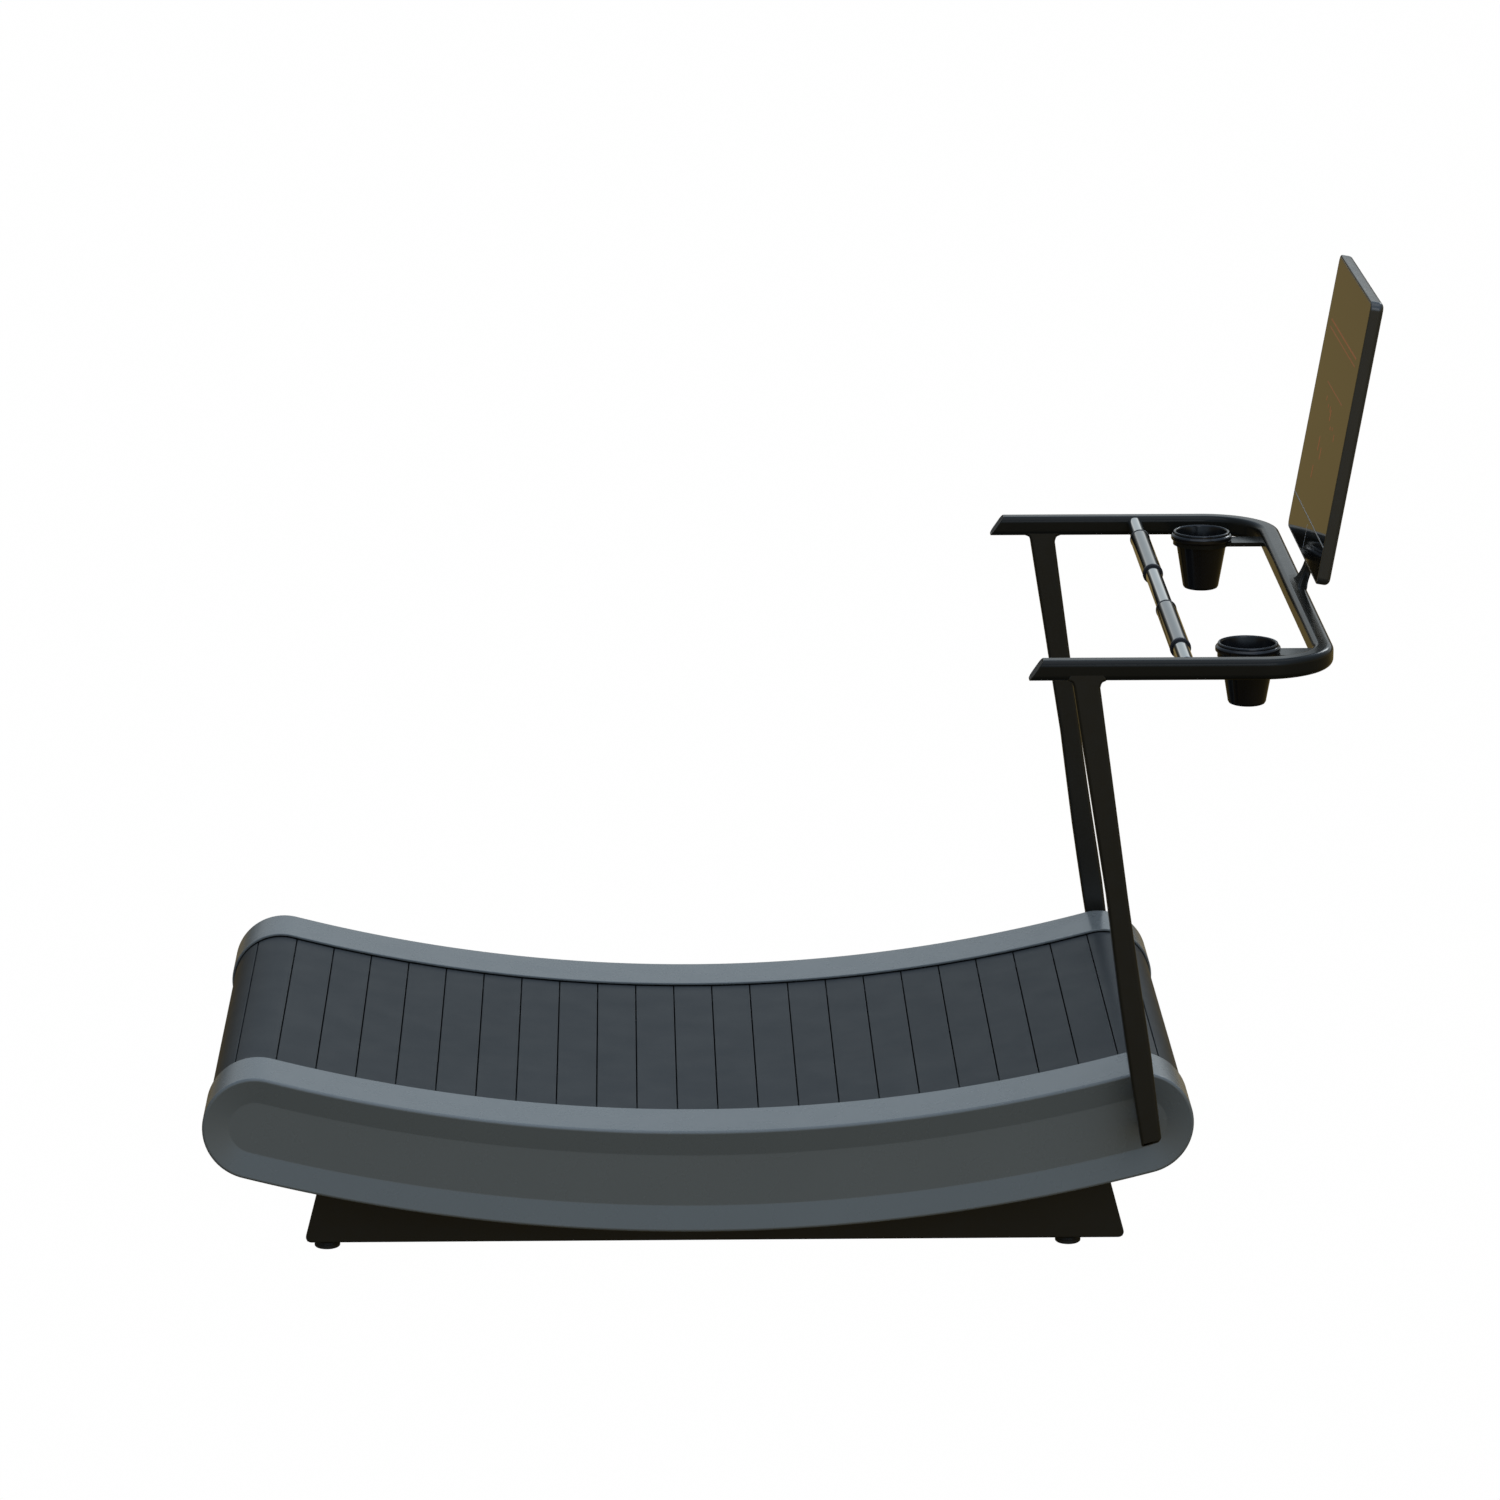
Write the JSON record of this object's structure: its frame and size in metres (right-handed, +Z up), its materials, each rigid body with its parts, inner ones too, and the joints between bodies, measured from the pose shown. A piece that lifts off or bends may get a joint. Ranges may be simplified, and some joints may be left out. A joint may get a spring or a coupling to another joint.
{
  "type": "curved manual treadmill",
  "caption": "Motorless treadmill with a concave slat belt between hollow side covers, leaning uprights, U-shaped handrail, cup holders and a tilting flat screen.",
  "frame": {"origin": "centre of the bounding box's footprint, on the floor under the levelling feet", "axes": "+X forward to the screen, the way a runner faces; +Y to the runner's left; +Z up"},
  "size_m": [1.9028, 1.08, 1.5394],
  "materials": {
    "frame_black": "satin powder coat",
    "cover_grey": "satin moulded plastic, blue grey",
    "slat_rubber": "satin ribless rubber over an aluminium slat",
    "belt_rubber": "matte rubber",
    "steel": "zinc plated",
    "alu": "machined",
    "bar_chrome": "polished",
    "cup_black": "glossy black",
    "plastic_black": "fine texture",
    "screen_glass": "dark glass with a mirror gloss"
  },
  "bodies": {
    "root": {"base_side_left": "frame_black", "base_side_right": "frame_black", "base_crossmembers": "frame_black", "feet_pads": "belt_rubber", "feet_studs": "steel", "feet_lock_nuts": "steel", "side_plate_left": "frame_black", "side_plate_right": "frame_black", "frame_cross_tubes": "frame_black", "side_plate_bolts": "steel", "side_cover_left": "cover_grey", "side_cover_right": "cover_grey", "cover_posts": "frame_black", "bearing_housings": "frame_black", "front_bearings": "steel", "rear_bearings": "steel", "one_way_clutch": "steel", "carrier_belt_left": "belt_rubber", "carrier_belt_right": "belt_rubber", "support_rollers_left": "alu", "support_rollers_right": "alu", "roller_pins_left": "steel", "roller_pins_right": "steel", "upright_left": "frame_black", "upright_right": "frame_black", "upright_mount_left": "frame_black", "upright_mount_right": "frame_black", "upright_bolts": "steel", "handrail": "frame_black", "handrail_end_plugs": "frame_black", "crossbar": "bar_chrome", "grip_left": "bar_chrome", "grip_right": "bar_chrome", "grip_end_rings": "plastic_black", "cup_holder_left": "frame_black", "cup_holder_right": "frame_black", "screen_neck": "frame_black", "speed_sensor": "plastic_black"},
    "belt_top_run": {"slats_top_run": "slat_rubber"},
    "belt_bottom_run": {"slats_bottom_run": "slat_rubber"},
    "rear_drum": {"rear_shaft": "steel", "rear_pulleys": "alu", "slats_rear_wrap": "slat_rubber"},
    "front_drum": {"front_shaft": "steel", "front_pulleys": "alu", "slats_front_wrap": "slat_rubber", "sensor_magnet": "steel"},
    "cup_left": {"cup_left": "cup_black"},
    "cup_right": {"cup_right": "cup_black"},
    "screen": {"hinge_bracket": "steel", "hinge_pin": "steel", "screen_back_shell": "plastic_black", "screen_glass": "screen_glass", "lower_bezel": "screen_glass", "accent_strip": "alu", "display_panel": "plastic_black", "control_board": "plastic_black", "battery_pack": "plastic_black"}
  },
  "joints": [
    {"name": "belt_travel", "type": "hinge", "parent": "root", "child": "belt_top_run", "pos_m": [-0.15282, 0, 2.9128], "axis": [0, 1, 0], "range_deg": [0, 0.256]},
    {"name": "belt_return", "type": "hinge", "parent": "root", "child": "belt_bottom_run", "pos_m": [-0.15282, 0, 2.9128], "axis": [0, -1, 0], "range_deg": [0, 0.2442]},
    {"name": "rear_drum_turn", "type": "hinge", "parent": "root", "child": "rear_drum", "pos_m": [-0.86592, 0, 0.24403], "axis": [0, -1, 0], "range_deg": [0, 9]},
    {"name": "front_drum_turn", "type": "hinge", "parent": "root", "child": "front_drum", "pos_m": [0.56028, 0, 0.24403], "axis": [0, -1, 0], "range_deg": [0, 9]},
    {"name": "screen_tilt", "type": "hinge", "parent": "root", "child": "screen", "pos_m": [0.87048, 0, 1.10216], "axis": [0, 1, 0], "range_deg": [-3, 12]},
    {"name": "cup_left_lift", "type": "slide", "parent": "root", "child": "cup_left", "axis": [0, 0, 1], "range_m": [0, 0.12]},
    {"name": "cup_right_lift", "type": "slide", "parent": "root", "child": "cup_right", "axis": [0, 0, 1], "range_m": [0, 0.12]}
  ],
  "couplings": [
    {"joint": "belt_return", "follows": "belt_travel", "ratio": 0.9459},
    {"joint": "rear_drum_turn", "follows": "belt_travel", "ratio": 34.969},
    {"joint": "front_drum_turn", "follows": "belt_travel", "ratio": 34.969}
  ]
}
